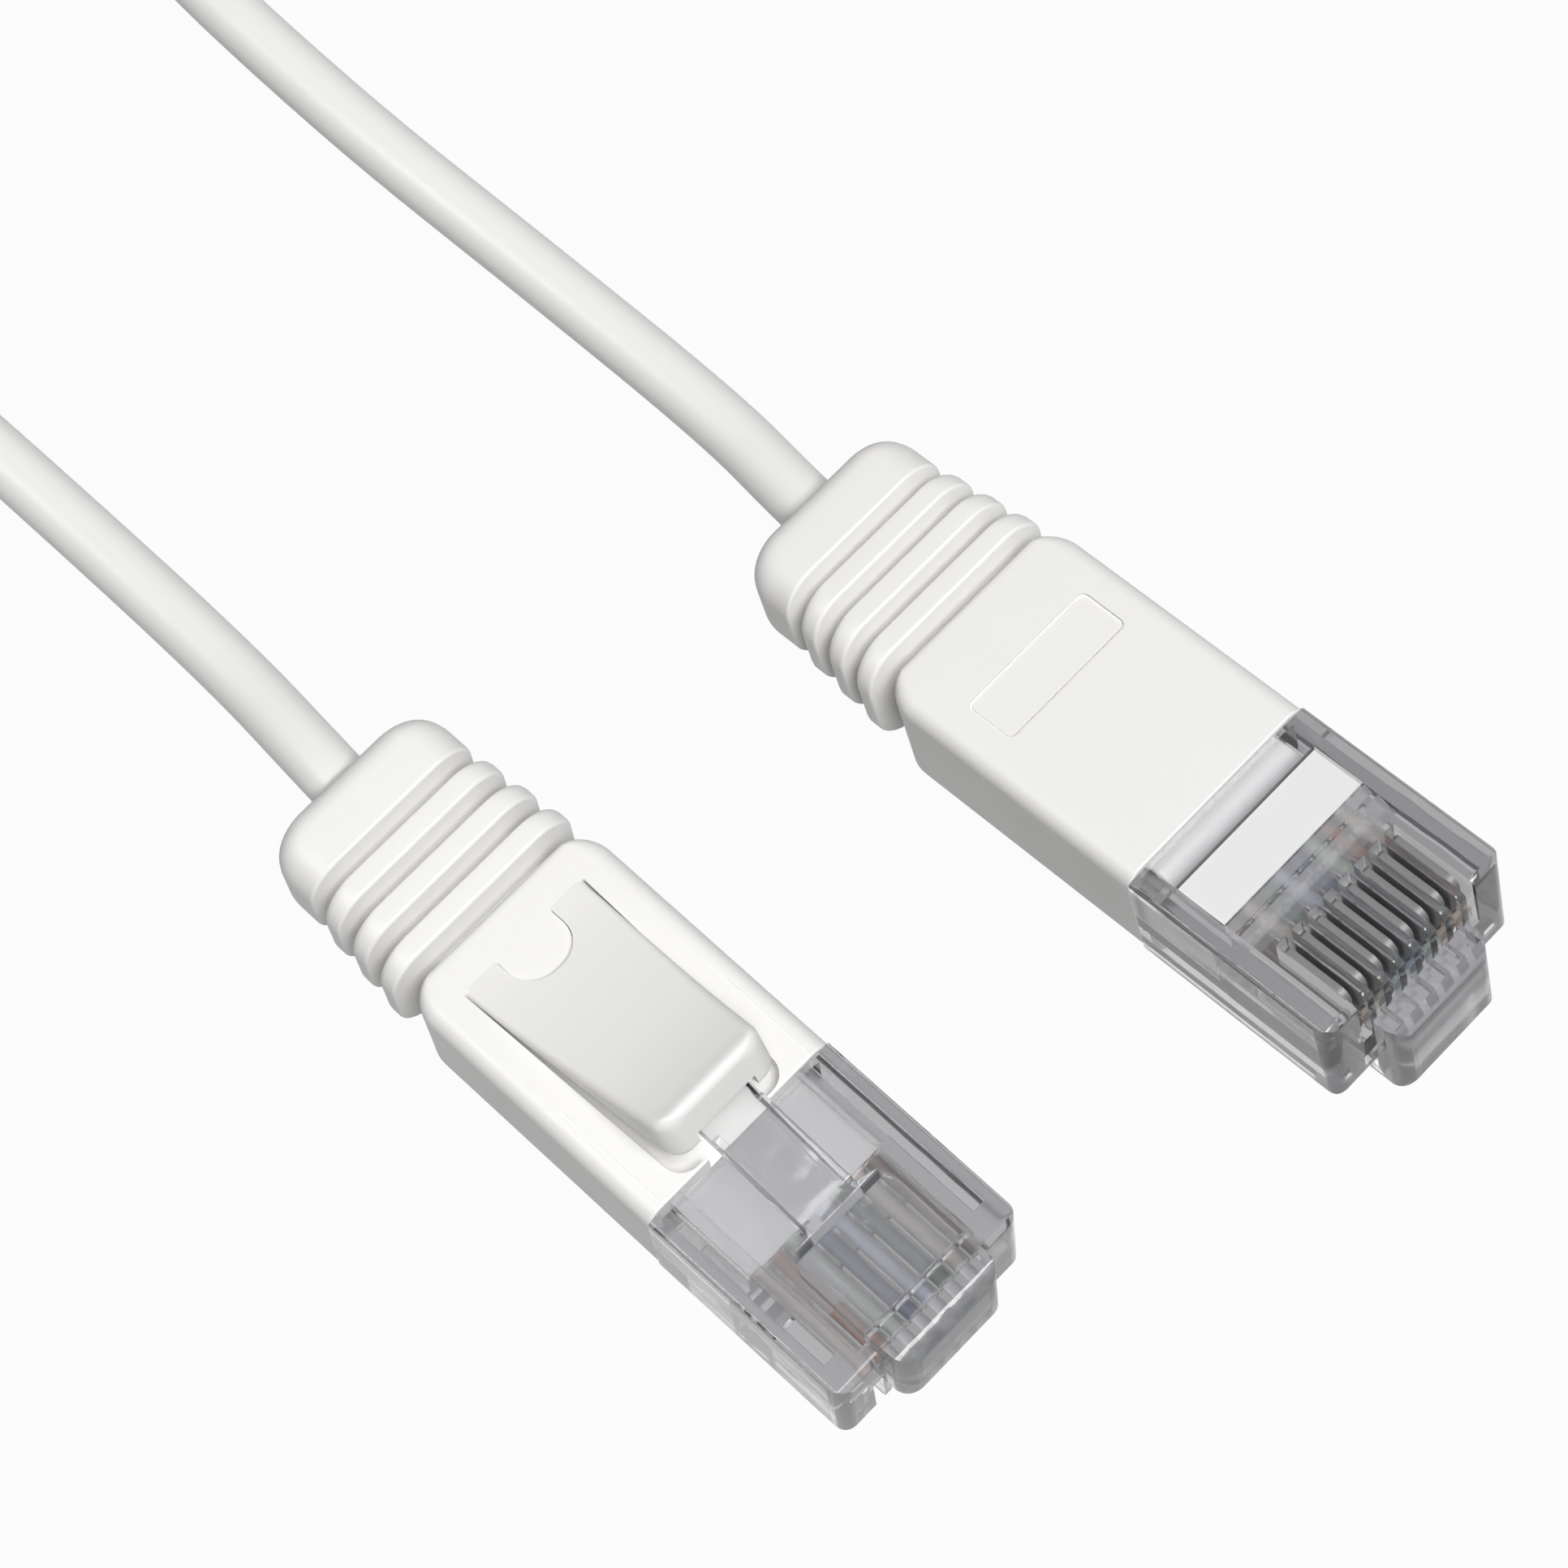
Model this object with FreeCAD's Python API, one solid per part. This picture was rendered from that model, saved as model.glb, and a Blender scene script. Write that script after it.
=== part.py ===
import FreeCAD, Part
import math
import os

# Slim ethernet patch cable: two eight-position modular plugs, each in a snagless boot, on one round cord.
# Millimetres, +Z up. The origin is on the surface that the object lies on, under the middle of the two plugs.
# Each plug is drawn in a frame of its own: X across, Y back from the nose, Z up from the contact side.

# Driving dimensions of the clear housing
PLUG_WIDTH = 11.68
PLUG_HEIGHT = 6.5
PLUG_LENGTH = 21.46
HOUSING_SHOWN = 11.8
NOSE_CHAMFER = 0.35
TAIL_WIDTH = 10.2
TAIL_BOTTOM = 0.9
TAIL_TOP = 5.0
WALL = 0.7
ROOT_WIDTH = 6.3
ROOT_FRONT = -1.6
ROOT_BACK = 0.95
ROOT_BOTTOM = 2.6
ROOT_TOP = 8.2
CHANNEL_WIDTH = 7.5
CHANNEL_FLOOR = 5.7
SIDE_RAIL = 0.35

# Contacts and conductors
POSITIONS = 8
PITCH = 1.02
BLADE = 0.35
BLADE_FRONT = 0.85
BLADE_BACK = 4.5
BLADE_TOP = 0.45
SLOT_WIDTH = 0.62
SLOT_BACK = 4.75
WIRE_DIAMETER = 0.8
WIRE_Z = 3.25
WIRE_FRONT = 0.6
GROOVE_FRONT = 5.0
GROOVE_BACK = 6.2
GROOVE_WIDTH = 9.12
GROOVE_DEPTH = 1.0

# White strain relief moulded round the conductors
MOULD_FRONT = 7.15
MOULD_PAD_BACK = 10.08
MOULD_PAD_WIDTH = 9.16
MOULD_PAD_Z = 0.3

# Latch
LATCH_WIDE = 6.1
LATCH_NARROW = 3.1
LATCH_SHOULDER = 5.6
LATCH_TAIL = 14.8
LATCH_HINGE = (0.0, 1.1, 6.9)

# Boot
BOOT_PROUD = 0.25
BOOT_WIDTH = 11.65
BOOT_BODY_BACK = 27.45
BOOT_EDGE = 1.0
CORE = (8.4, 3.4, 1.5)
AXIS_Z = 3.25
RIB_PITCH = 2.02
RIB_THICKNESS = 1.12
RIB_FIRST = 28.4
RIB_COUNT = 3
RIB_WIDTH = 11.6
RIB_HEIGHT = 6.7
RIB_EDGE = 2.2
RIB_TAPER = 0.4
RIB_DROP = 0.1
CAP_LENGTH = 3.4
BADGE = (7.8, 2.85, 0.2)
BADGE_FRONT = 20.8

# Press tab over the latch
TAB_FRONT = 12.4
TAB_BACK = 25.4
TAB_FRONT_WIDTH = 6.46
TAB_BACK_WIDTH = 7.6
TAB_TOP = 11.2
TAB_GAP = 0.25
TAB_NOTCH_WIDTH = 3.5
TAB_NOTCH_DEPTH = 2.4
POCKET_FLOOR = 5.55
TAB_HINGE = (0.0, 25.4, 6.0)

# Cord
CORD_DIAMETER = 3.1
COIL_COLUMNS = 4
COIL_LAYERS = 2
COIL_MEAN_RADIUS = 16.4
COIL_CENTRE = (3.49, 97.2)

# Places of the two plugs: b lies flat on its contact side, a rests on the front edge of its press tab, nose raised
PLUG_B_NOSE = (-12.51, -14.72)
PLUG_A_NOSE = (12.51, -21.585)
PLUG_A_PITCH = 9.5
PLUG_A_LIFT = 6.8

# Hand-chosen points of the cord, from the first bend behind each boot to the coil
BORE_POINT = 36.0
FIRST_BEND = 40.0
ROUTE_A = [(14.09, 26.7, 2.1), (13.64, 37.7, 1.55), (13.79, 51.2, 1.55), (16.39, 69.2, 1.55), (19.79, 84.7, 1.55)]
ROUTE_B = [(-11.41, 34.4, 2.0), (-11.46, 45.7, 1.55), (-12.21, 60.7, 1.9), (-14.51, 74.2, 3.9), (-12.31, 83.2, 4.4)]

MARGIN = 1.0
X_AXIS = FreeCAD.Vector(1, 0, 0)
Y_AXIS = FreeCAD.Vector(0, 1, 0)
Z_AXIS = FreeCAD.Vector(0, 0, 1)


def plan(u, v, w):
    return FreeCAD.Vector(u, v, w)


def side(u, v, w):
    return FreeCAD.Vector(w, u, v)


def section(u, v, w):
    return FreeCAD.Vector(u, w, v)


def outline(corners, view, level):
    """Closed wire through (u, v, radius) corners, each rounded by a tangent arc."""
    count = len(corners)
    ends = []
    for i in range(count):
        before, here, after = (corners[j % count] for j in (i - 1, i, i + 1))
        point = FreeCAD.Vector(here[0], here[1], 0)
        to_before = (FreeCAD.Vector(before[0], before[1], 0) - point).normalize()
        to_after = (FreeCAD.Vector(after[0], after[1], 0) - point).normalize()
        radius = here[2]
        if radius == 0:
            ends.append((point, None, point))
            continue
        half = to_before.getAngle(to_after) / 2
        trim = radius / math.tan(half)
        middle_way = (to_before + to_after).normalize()
        middle = point + middle_way * (radius / math.sin(half) - radius)
        ends.append((point + to_before * trim, middle, point + to_after * trim))
    edges = []
    for i in range(count):
        start, middle, stop = ends[i]
        following = ends[(i + 1) % count][0]
        if middle is not None:
            arc = Part.Arc(*(view(p.x, p.y, level) for p in (start, middle, stop)))
            edges.append(arc.toShape())
        if stop.distanceToPoint(following) > 1e-6:
            line = Part.LineSegment(view(stop.x, stop.y, level), view(following.x, following.y, level))
            edges.append(line.toShape())
    return Part.Wire(edges)


def plan_solid(corners, bottom, top):
    """Outline seen from above, drawn up from bottom to top."""
    face = Part.Face(outline(corners, plan, bottom))
    return face.extrude(Z_AXIS * (top - bottom))


def side_solid(corners, half_width):
    """Outline of (back, up) corners seen from the side, drawn across the plug's middle."""
    face = Part.Face(outline(corners, side, -half_width))
    return face.extrude(X_AXIS * (2 * half_width))


def section_corners(width, bottom, top, radius):
    half = width / 2
    return [(-half, bottom, radius), (half, bottom, radius), (half, top, radius), (-half, top, radius)]


def section_solid(width, bottom, top, radius, front, back):
    """Rounded rectangle seen from the nose, drawn back along the plug."""
    face = Part.Face(outline(section_corners(width, bottom, top, radius), section, front))
    return face.extrude(Y_AXIS * (back - front))


def cylinder(radius, front, back, x=0.0, z=AXIS_Z):
    return Part.makeCylinder(radius, back - front, FreeCAD.Vector(x, front, z), Y_AXIS)


def position_x(index):
    """Middle of a contact position across the plug."""
    return (index - (POSITIONS - 1) / 2) * PITCH


def shifted(shape, x):
    copy = shape.copy()
    copy.translate(X_AXIS * x)
    return copy


def cavity():
    """Hollow of the housing that holds the moulded strain relief, with its window on the contact side."""
    inside = section_solid(TAIL_WIDTH - 2 * WALL, TAIL_BOTTOM + WALL, TAIL_TOP - WALL, 0.3, MOULD_FRONT, PLUG_LENGTH)
    window = section_solid(MOULD_PAD_WIDTH, -MARGIN, TAIL_BOTTOM + WALL + 0.1, 0, MOULD_FRONT, MOULD_PAD_BACK)
    return inside.fuse(window).removeSplitter()


def housing():
    half = PLUG_WIDTH / 2
    nose = half - NOSE_CHAMFER
    body = plan_solid([(-half, HOUSING_SHOWN, 0), (-half, NOSE_CHAMFER, 0.4), (-nose, 0, 0.4), (nose, 0, 0.4),
                       (half, NOSE_CHAMFER, 0.4), (half, HOUSING_SHOWN, 0)], 0, PLUG_HEIGHT)
    body = body.common(side_solid([(0, 0, 0.45), (HOUSING_SHOWN, 0, 0), (HOUSING_SHOWN, PLUG_HEIGHT, 0),
                                   (0, PLUG_HEIGHT, 0.45)], half))
    body = body.common(section_solid(PLUG_WIDTH, 0, PLUG_HEIGHT, 0.3, -MARGIN, HOUSING_SHOWN))
    tail = section_solid(TAIL_WIDTH, TAIL_BOTTOM, TAIL_TOP, 0.5, HOUSING_SHOWN - 0.5, PLUG_LENGTH)
    root = side_solid([(ROOT_FRONT, ROOT_BOTTOM, 0.8), (ROOT_BACK, ROOT_BOTTOM, 0), (ROOT_BACK, ROOT_TOP, 0.2),
                       (ROOT_FRONT, ROOT_TOP, 0.9)], ROOT_WIDTH / 2)
    root_half = ROOT_WIDTH / 2
    root = root.common(plan_solid([(-root_half, ROOT_BACK, 0), (-root_half, ROOT_FRONT, 0.7),
                                   (root_half, ROOT_FRONT, 0.7), (root_half, ROOT_BACK, 0)], 0, ROOT_TOP))
    channel = section_solid(CHANNEL_WIDTH, CHANNEL_FLOOR, PLUG_HEIGHT + MARGIN, 0, ROOT_BACK, HOUSING_SHOWN + 1)
    rail_x = (half + CHANNEL_WIDTH / 2) / 2
    rail = section_solid(SIDE_RAIL * 2, PLUG_HEIGHT - SIDE_RAIL, PLUG_HEIGHT + MARGIN, 0, 1.6, HOUSING_SHOWN + 1)
    shell = body.fuse([tail, root]).cut([channel, shifted(rail, rail_x), shifted(rail, -rail_x), cavity()])
    cutters = [side_solid([(GROOVE_FRONT, -0.01, 0), (GROOVE_BACK, -0.01, 0), (GROOVE_BACK - 0.35, GROOVE_DEPTH, 0),
                           (GROOVE_FRONT + 0.2, GROOVE_DEPTH, 0)], GROOVE_WIDTH / 2)]
    for i in range(POSITIONS):
        x = position_x(i)
        way = WIRE_DIAMETER + 0.1
        wire_way = section_solid(way, WIRE_Z - way / 2, WIRE_Z + way / 2, 0, WIRE_FRONT - 0.1, MOULD_FRONT + 0.1)
        slot = section_solid(SLOT_WIDTH, -MARGIN, WIRE_Z + 0.3, 0, -MARGIN, SLOT_BACK)
        cutters += [shifted(wire_way, x), shifted(slot, x)]
    return shell.cut(cutters).removeSplitter()


def inner_mould():
    clear = 0.02
    width = TAIL_WIDTH - 2 * WALL - 2 * clear
    body = section_solid(width, TAIL_BOTTOM + WALL + clear, TAIL_TOP - WALL - clear, 0.3, MOULD_FRONT + clear, PLUG_LENGTH)
    pad = section_solid(MOULD_PAD_WIDTH - 2 * clear, MOULD_PAD_Z, TAIL_BOTTOM + WALL + 0.1 - clear, 0,
                        MOULD_FRONT + clear, MOULD_PAD_BACK - clear)
    return body.fuse(pad).removeSplitter()


def contact(x):
    """Insulation-piercing contact blade: a rounded spring edge and two sharp tines."""
    tine_root = WIRE_Z - 0.75
    tine_tip = WIRE_Z + 0.15
    front, back = BLADE_FRONT, BLADE_BACK
    blade = side_solid([(front, BLADE_TOP, 0.6), (back, BLADE_TOP, 0.2), (back, tine_root, 0), (back - 0.4, tine_root, 0),
                        (back - 0.9, tine_tip, 0), (back - 1.4, tine_root, 0), (front + 1.4, tine_root, 0),
                        (front + 0.9, tine_tip, 0), (front + 0.4, tine_root, 0), (front, tine_root, 0)], BLADE / 2)
    return shifted(blade, x)


def wire(x):
    """Insulated conductor, slit where the tines of its contact pierce it."""
    slit = section_solid(BLADE, WIRE_Z - WIRE_DIAMETER, WIRE_Z + 0.15, 0, BLADE_FRONT, BLADE_BACK)
    return cylinder(WIRE_DIAMETER / 2, WIRE_FRONT, MOULD_FRONT + 0.02, x, WIRE_Z).cut(shifted(slit, x))


def latch():
    """Wide locking plate behind the root block, stepped to the narrow, thicker bar that the press tab pushes."""
    wide, narrow = LATCH_WIDE / 2, LATCH_NARROW / 2
    front, step, tail = LATCH_HINGE[1], LATCH_SHOULDER, LATCH_TAIL
    above = plan_solid([(-wide, front, 0), (wide, front, 0), (wide, step, 0.9), (narrow, step + 0.3, 0.2),
                        (narrow, tail, 0.6), (-narrow, tail, 0.6), (-narrow, step + 0.3, 0.2), (-wide, step, 0.9)], 5, 10)
    beside = side_solid([(front, 6.5, 0), (step, 7.0, 0), (tail, 8.6, 0), (tail, 9.45, 0.3), (step, 8.3, 0.15),
                         (step - 0.2, 7.7, 0), (front, 7.4, 0)], wide)
    return above.common(beside).removeSplitter()


def tab_corners(grow):
    """Plan of the press tab, grown for the pocket that it lies in, with the U notch between its two legs."""
    front, back = TAB_FRONT - grow, TAB_BACK
    front_half, back_half = TAB_FRONT_WIDTH / 2 + grow, TAB_BACK_WIDTH / 2 + grow
    notch = TAB_NOTCH_WIDTH / 2 - grow
    notch_front = back - TAB_NOTCH_DEPTH + grow
    return [(-front_half, front, 0.9), (front_half, front, 0.9), (back_half, back, 0.0), (notch, back, 0.0),
            (notch, notch_front, notch * 0.95), (-notch, notch_front, notch * 0.95), (-notch, back, 0.0),
            (-back_half, back, 0.0)]


def press_tab():
    """Hood over the latch bar: flush with the boot at its legs, a straight ramp up to its blunt front."""
    boot_top = PLUG_HEIGHT + BOOT_PROUD
    above = plan_solid(tab_corners(0), 5, TAB_TOP + MARGIN)
    beside = side_solid([(TAB_FRONT + 0.5, 8.5, 0.3), (TAB_BACK, TAB_HINGE[2], 0), (TAB_BACK, boot_top, 0),
                         (TAB_FRONT + 0.7, TAB_TOP + 0.05, 0.45), (TAB_FRONT, 9.35, 0.2)], TAB_BACK_WIDTH / 2)
    bar_way = side_solid([(TAB_FRONT - MARGIN, 5, 0), (15.6, 5, 0), (15.6, 9.72, 0), (TAB_FRONT - MARGIN, 9.24, 0)],
                         LATCH_NARROW / 2 + 0.3)
    return above.common(beside).cut(bar_way).removeSplitter()


def rib(front, back, order):
    width = RIB_WIDTH - order * RIB_TAPER
    height = RIB_HEIGHT - order * RIB_DROP
    return section_solid(width, AXIS_Z - height / 2, AXIS_Z + height / 2, RIB_EDGE, front, back)


def boot():
    boot_bottom, boot_top = -BOOT_PROUD, PLUG_HEIGHT + BOOT_PROUD
    body = section_solid(BOOT_WIDTH, boot_bottom, boot_top, BOOT_EDGE, HOUSING_SHOWN, BOOT_BODY_BACK)
    half = BOOT_WIDTH / 2
    body = body.common(plan_solid([(-half, HOUSING_SHOWN, 0), (half, HOUSING_SHOWN, 0), (half, BOOT_BODY_BACK, 1.7),
                                   (-half, BOOT_BODY_BACK, 1.7)], boot_bottom, boot_top))
    cap_front = RIB_FIRST + RIB_COUNT * RIB_PITCH
    cap_back = cap_front + CAP_LENGTH
    ribs = []
    for i in range(RIB_COUNT):
        front = RIB_FIRST + i * RIB_PITCH
        ribs.append(rib(front, front + RIB_THICKNESS, i))
    cap = rib(cap_front, cap_back, RIB_COUNT)
    cap_half_height = (RIB_HEIGHT - RIB_COUNT * RIB_DROP) / 2
    cap_half_width = (RIB_WIDTH - RIB_COUNT * RIB_TAPER) / 2
    cap = cap.common(side_solid([(cap_front, AXIS_Z - cap_half_height, 0), (cap_back, AXIS_Z - cap_half_height, 1.2),
                                 (cap_back, AXIS_Z + cap_half_height, 1.2), (cap_front, AXIS_Z + cap_half_height, 0)],
                                cap_half_width))
    cap = cap.common(plan_solid([(-cap_half_width, cap_front, 0), (cap_half_width, cap_front, 0),
                                 (cap_half_width, cap_back, 2.0), (-cap_half_width, cap_back, 2.0)], -MARGIN, 9))
    core_width, core_height, core_edge = CORE
    core = section_solid(core_width, AXIS_Z - core_height / 2, AXIS_Z + core_height / 2, core_edge,
                         BOOT_BODY_BACK - 0.5, cap_front + 0.5)
    collar = cylinder(CORD_DIAMETER / 2 + 0.25, cap_back - 0.1, cap_back + 0.3)
    solid = body.fuse(ribs + [cap, core, collar])
    tail_room = section_solid(TAIL_WIDTH, TAIL_BOTTOM, TAIL_TOP, 0.5, HOUSING_SHOWN - MARGIN, PLUG_LENGTH)
    bore = cylinder(CORD_DIAMETER / 2, PLUG_LENGTH - 0.1, cap_back + MARGIN)
    pocket = plan_solid(tab_corners(TAB_GAP), POCKET_FLOOR, boot_top + MARGIN)
    bar_gap = section_solid(LATCH_NARROW + 0.6, POCKET_FLOOR, boot_top + MARGIN, 0, HOUSING_SHOWN - MARGIN, TAB_FRONT)
    badge_width, badge_length, badge_depth = BADGE
    badge = plan_solid([(-badge_width / 2, BADGE_FRONT, 0.4), (badge_width / 2, BADGE_FRONT, 0.4),
                        (badge_width / 2, BADGE_FRONT + badge_length, 0.4),
                        (-badge_width / 2, BADGE_FRONT + badge_length, 0.4)], boot_bottom - MARGIN, boot_bottom + badge_depth)
    return solid.cut([tail_room, bore, pocket, bar_gap, badge]).removeSplitter()


def place_b(shape):
    """Plug b: contact side down, flat on the surface."""
    placed = shape.copy()
    placed.translate(FreeCAD.Vector(PLUG_B_NOSE[0], PLUG_B_NOSE[1], BOOT_PROUD))
    return placed


def place_a(shape):
    """Plug a: turned over along its length, then tipped nose up until the press tab and the cap touch the surface."""
    placed = shape.copy()
    placed.rotate(FreeCAD.Vector(0, 0, 0), Y_AXIS, 180)
    placed.translate(Z_AXIS * PLUG_HEIGHT)
    placed.rotate(FreeCAD.Vector(0, 0, 0), X_AXIS, -PLUG_A_PITCH)
    placed.translate(FreeCAD.Vector(PLUG_A_NOSE[0], PLUG_A_NOSE[1], PLUG_A_LIFT))
    return placed


def placed_point(place, y, x=0.0, z=AXIS_Z):
    """A point of the plug's own frame, in the frame of the whole object."""
    return place(Part.Vertex(x, y, z)).Point


def cord_tube(start, points):
    """Round tube from start, straight through the boot, then along the points' runs joined by arcs as large as fit."""
    section_area = math.pi * (CORD_DIAMETER / 2) ** 2
    ends = [(start, None, start)]
    for before, here, after in zip(points, points[1:], points[2:]):
        shorter = min(here.distanceToPoint(before), here.distanceToPoint(after))
        trim = 0.45 * shorter
        to_before = (before - here).normalize()
        to_after = (after - here).normalize()
        half = to_before.getAngle(to_after) / 2
        radius = trim * math.tan(half)
        middle = here + (to_before + to_after).normalize() * (radius / math.sin(half) - radius)
        ends.append((here + to_before * trim, middle, here + to_after * trim))
        print("arc radius %.1f mm, turn %.1f degrees" % (radius, 180 - math.degrees(2 * half)))
    ends.append((points[-1], None, points[-1]))
    edges = []
    for (begin, middle, stop), (following, _, _) in zip(ends, ends[1:] + [(None, None, None)]):
        if middle is not None:
            edges.append(Part.Arc(begin, middle, stop).toShape())
        if following is not None:
            edges.append(Part.LineSegment(stop, following).toShape())
    path = Part.Wire(edges)
    ring = Part.Wire(Part.Circle(start, points[0] - start, CORD_DIAMETER / 2).toShape())
    tube = path.makePipeShell([ring], True, True)
    print("tube %.1f mm long, volume %.1f of %.1f mm3" % (path.Length, tube.Volume, section_area * path.Length))
    return tube


def coil():
    """Outer shape of the wound cord: a flat ring with bevelled edges."""
    half_width = COIL_COLUMNS * CORD_DIAMETER / 2
    height = COIL_LAYERS * CORD_DIAMETER
    inner, outer = COIL_MEAN_RADIUS - half_width, COIL_MEAN_RADIUS + half_width
    bevel = CORD_DIAMETER * 0.3
    corners = [(inner + bevel, 0), (outer - bevel, 0), (outer, bevel), (outer, height - bevel),
               (outer - bevel, height), (inner + bevel, height), (inner, height - bevel), (inner, bevel)]
    profile = outline([(u, v, 0) for u, v in corners], section, 0)
    ring = Part.Face(profile).revolve(FreeCAD.Vector(0, 0, 0), Z_AXIS, 360)
    ring.translate(FreeCAD.Vector(COIL_CENTRE[0], COIL_CENTRE[1], 0))
    return ring


def plug_nodes(letter, place):
    nodes = {"housing": housing(), "inner_mould": inner_mould(), "latch": latch(), "boot": boot(),
             "press_tab": press_tab()}
    for i in range(POSITIONS):
        x = position_x(i)
        nodes["contact_%d" % (i + 1)] = contact(x)
        nodes["wire_%d" % (i + 1)] = wire(x)
    return {"plug_%s_%s" % (letter, name): place(shape) for name, shape in nodes.items()}


def cord_nodes():
    """The cord starts at the strain relief inside each boot and runs to the coil, which it meets face to face."""
    wound = coil()
    nodes = {"coil": wound}
    for letter, place, route in (("a", place_a, ROUTE_A), ("b", place_b, ROUTE_B)):
        points = [placed_point(place, BORE_POINT), placed_point(place, FIRST_BEND)]
        points += [FreeCAD.Vector(*p) for p in route]
        tube = cord_tube(placed_point(place, PLUG_LENGTH), points)
        nodes["cable_" + letter] = tube.cut(wound)
    return nodes


def main():
    os.makedirs("parts", exist_ok=True)
    plugs = {**plug_nodes("a", place_a), **plug_nodes("b", place_b)}
    box = FreeCAD.BoundBox()
    for name, shape in plugs.items():
        box.add(shape.BoundBox)
    print("plugs without the cord:", box)
    for name, shape in {**plugs, **cord_nodes()}.items():
        if not shape.isValid() or len(shape.Solids) != 1:
            print("CHECK", name, shape.isValid(), len(shape.Solids))
        shape.exportStep("parts/%s.step" % name)


main()
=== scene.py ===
# %% [markdown]
# # Ethernet patch cable
# Two modular plugs lie side by side, each in a ribbed snagless boot, on one thin white cord. The packed
# CAD model comes in first as a fixed frame. Every other piece is made around it, in the same metres.

# %% Load the frame
import math
import bmesh
import bpy
from mathutils import Matrix, Vector


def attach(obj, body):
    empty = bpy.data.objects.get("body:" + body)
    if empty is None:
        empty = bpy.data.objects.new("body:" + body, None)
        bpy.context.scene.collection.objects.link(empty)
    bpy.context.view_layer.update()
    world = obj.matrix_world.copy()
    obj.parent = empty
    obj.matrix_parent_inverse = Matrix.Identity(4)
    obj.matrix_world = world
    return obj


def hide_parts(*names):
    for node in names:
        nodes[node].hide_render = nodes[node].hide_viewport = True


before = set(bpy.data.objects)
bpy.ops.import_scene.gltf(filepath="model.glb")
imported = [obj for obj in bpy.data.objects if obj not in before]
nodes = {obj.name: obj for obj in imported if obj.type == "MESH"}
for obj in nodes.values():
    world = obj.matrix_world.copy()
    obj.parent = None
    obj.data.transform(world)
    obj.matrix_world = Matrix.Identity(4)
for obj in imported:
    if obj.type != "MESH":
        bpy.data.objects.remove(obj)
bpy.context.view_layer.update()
MM = 0.001

# %% [markdown]
# ## Camera
# The camera stands where the photograph was taken: above the noses, to their left, with a long lens. Its
# place and turn come from the corners of the plugs, whose width is a standard size.

# %% Place the camera
CAMERA_AT = Vector((-50.10, -60.15, 213.78)) * MM
LOOK = Vector((0.22826, 0.30128, -0.92581))
PICTURE_UP = Vector((0.68461, 0.62645, 0.37265))
camera_data = bpy.data.cameras.new("camera")
camera_data.lens = 111.74
camera_data.sensor_width = 36
camera_data.clip_start = 0.01
camera = bpy.data.objects.new("camera", camera_data)
picture_right = LOOK.cross(PICTURE_UP).normalized()
turn = Matrix((picture_right, picture_right.cross(LOOK).normalized(), -LOOK)).transposed()
camera.matrix_world = Matrix.Translation(CAMERA_AT) @ turn.to_4x4()
bpy.context.scene.collection.objects.link(camera)
bpy.context.scene.camera = camera
print("camera at", tuple(round(v, 4) for v in camera.location))

# %% [markdown]
# ## Cord
# The real cord is a 3.1 mm round PVC jacket over eight thin conductors, about one metre long. One NURBS
# spline is its centreline. Its control points run straight out of each boot and then along the floor. The
# length that the photograph does not show is wound in a neat coil behind the plugs: four turns on the
# floor, and four on top of them. A loop places the coil's points, because its turns differ only in radius
# and height.

# %% Route of the cord
CORD_RADIUS = 1.55
COIL_MIDDLE = (3.49, 97.2)
COIL_OUTER = 21.05
COIL_START = -15  # degrees
TURNS = 7.58
STEPS = 20  # control points in a turn
STEP_PART = 0.15  # the part of a turn in which the cord steps inwards to the next column
SWERVE = 1.2  # how far the cord leans in while it climbs to the upper layer, in mm
route_a = [(12.51, 0.117, 6.464), (12.51, 14.457, 4.064), (12.9, 18.4, 3.4), (13.67, 24.0, 2.4),
           (13.72, 36.0, 1.55), (13.26, 51.2, 1.55), (14.16, 69.2, 1.55)]
route_b = [(-12.51, 6.74, 3.5), (-12.51, 21.28, 3.5), (-12.22, 25.28, 3.5), (-11.46, 32.5, 2.2),
           (-11.26, 45.7, 1.55), (-11.48, 60.7, 1.9), (-14.51, 74.2, 3.9)]


def coil_point(turns):
    """A point of the wound cord: four turns inwards on the floor, then outwards on top of them."""
    whole, part = divmod(turns, 1)
    step = max(0.0, (part - (1 - STEP_PART)) / STEP_PART)
    if whole < 3:
        height, inward = 0, 0
    elif whole == 3:
        height, inward = step, SWERVE * math.sin(math.pi * step)
    else:
        height, inward = 1, 0
    column = min(3, whole + step) if whole < 4 else max(0, 7 - whole - step)
    radius = COIL_OUTER - 2 * CORD_RADIUS * column - inward
    angle = math.radians(COIL_START) + turns * 2 * math.pi
    return (COIL_MIDDLE[0] + radius * math.cos(angle), COIL_MIDDLE[1] + radius * math.sin(angle),
            CORD_RADIUS * (1 + 2 * height))


coil_points = [coil_point(i / STEPS) for i in range(int(STEPS * TURNS) + 1)]
print("coil:", len(coil_points), "points")

# %% [markdown]
# ## The cord's spline
# A curve with a round bevel is a cord that stays smooth and can still bend. The order is set after the
# points are added, because a spline without points cannot hold it, and the end points are used, so that
# it starts inside a boot.

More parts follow.
